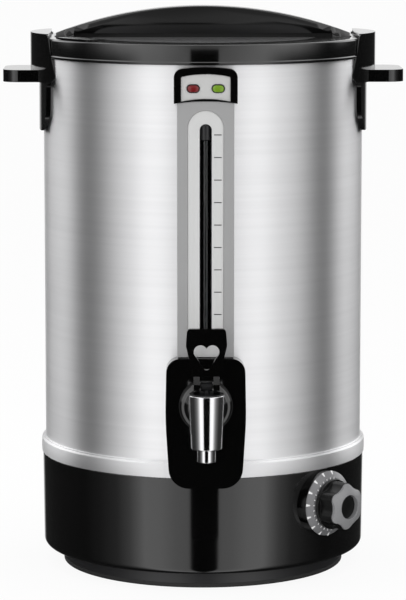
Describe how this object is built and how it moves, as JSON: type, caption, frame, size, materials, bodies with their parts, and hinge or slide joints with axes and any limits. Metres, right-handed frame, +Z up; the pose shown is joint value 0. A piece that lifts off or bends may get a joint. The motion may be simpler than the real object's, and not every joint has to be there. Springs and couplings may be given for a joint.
{
  "type": "hot water urn",
  "caption": "Cylindrical electric hot water urn with a brushed steel body, black base and lid, side grips, a water gauge, a lever tap and a rotary thermostat.",
  "frame": {"origin": "on the body's axis, at the underside of the foot ring that it stands on", "axes": "+Z up; the tap faces -Y; +X is to the viewer's right when looking at the tap"},
  "size_m": [0.324, 0.3248, 0.4576],
  "materials": {
    "shell_steel": "fine vertical light bands, horizontal brushing",
    "tank_steel": "satin",
    "band_steel": "bright, near polished",
    "inlay_steel": "satin",
    "black_gloss": "gloss black",
    "black_satin": "satin black",
    "grey_cover": "smooth grey",
    "pale_plate": "smooth pale grey",
    "lamp_plate": "smooth pale",
    "red_lens": "clear red",
    "green_lens": "clear green",
    "lamp_glass": "clear",
    "tube_glass": "clear",
    "tap_chrome": "polished",
    "zinc_steel": "zinc plated",
    "spring_steel": "drawn wire",
    "foot_rubber": "matte",
    "seal_rubber": "soft silicone",
    "dial_metal": "brushed in circles",
    "cap_grey": "satin grey",
    "plate_aluminium": "rolled",
    "element_metal": "dull",
    "ceramic_cream": "moulded",
    "copper": "drawn",
    "brass_pin": "plain",
    "wire_cover": "woven sleeve"
  },
  "bodies": {
    "urn": {"outer_shell": "shell_steel", "inner_tank": "tank_steel", "tank_studs": "zinc_steel", "stud_nuts": "zinc_steel", "trim_band": "band_steel", "base_housing": "black_gloss", "bottom_plate": "black_satin", "foot_ring": "foot_rubber", "top_collar": "black_gloss", "handle_right": "black_gloss", "handle_left": "black_gloss", "handle_screws": "zinc_steel", "indicator_bezel": "black_gloss", "indicator_plate": "lamp_plate", "lamp_red": "red_lens", "lamp_green": "green_lens", "pilot_lamps": "lamp_glass", "gauge_cover": "grey_cover", "gauge_plate": "pale_plate", "sight_tube": "tube_glass", "gauge_elbow_lower": "black_satin", "gauge_elbow_upper": "black_satin", "tap_shield": "black_gloss", "tap_rosette": "black_gloss", "tap_body": "tap_chrome", "shank_spacer": "black_satin", "tap_washer": "seal_rubber", "tap_nut": "zinc_steel", "tap_bonnet": "black_satin", "tap_spring": "spring_steel", "heat_spreader": "plate_aluminium", "heating_element": "element_metal", "thermal_cutout": "ceramic_cream", "thermostat": "ceramic_cream", "thermostat_nut": "zinc_steel", "thermostat_bulb": "copper", "dial_seat": "black_gloss", "dial_ring": "dial_metal", "mains_inlet": "black_satin", "inlet_pins": "brass_pin", "inlet_screws": "zinc_steel", "terminal_block": "ceramic_cream", "wire_harness": "wire_cover"},
    "lid_seat": {"lid_gasket": "seal_rubber"},
    "lid": {"lid_cover": "black_gloss", "lid_inlays": "inlay_steel", "lid_liner": "tank_steel", "lid_screws": "zinc_steel"},
    "stem": {"tap_stem": "zinc_steel", "seat_cup": "seal_rubber"},
    "lever": {"tap_lever": "black_gloss", "lever_pin": "zinc_steel"},
    "knob": {"control_knob": "black_gloss", "knob_cap": "cap_grey", "thermostat_shaft": "zinc_steel"}
  },
  "joints": [
    {"name": "lid_lift", "type": "slide", "parent": "urn", "child": "lid_seat", "axis": [0, 0, 1], "range_m": [0, 0.12]},
    {"name": "lid_turn", "type": "hinge", "parent": "lid_seat", "child": "lid", "pos_m": [0, 0, 0.43], "axis": [0, 0, -1], "range_deg": [0, 35]},
    {"name": "stem_lift", "type": "slide", "parent": "urn", "child": "stem", "axis": [0, 0, 1], "range_m": [0, 0.004], "deforming": ["tap_spring"]},
    {"name": "lever_tilt", "type": "hinge", "parent": "stem", "child": "lever", "pos_m": [0, -0.174, 0.1725], "axis": [1, 0, 0], "range_deg": [0, 55], "stiffness_Nm_per_rad": 0.3, "springref_deg": -17.19},
    {"name": "knob_turn", "type": "hinge", "parent": "urn", "child": "knob", "pos_m": [0.09617, -0.09617, 0.065], "axis": [-0.7071, 0.7071, 0], "range_deg": [0, 180]}
  ],
  "couplings": [
    {"joint": "lever_tilt", "follows": "stem_lift", "rad_per_m": 239.98}
  ]
}
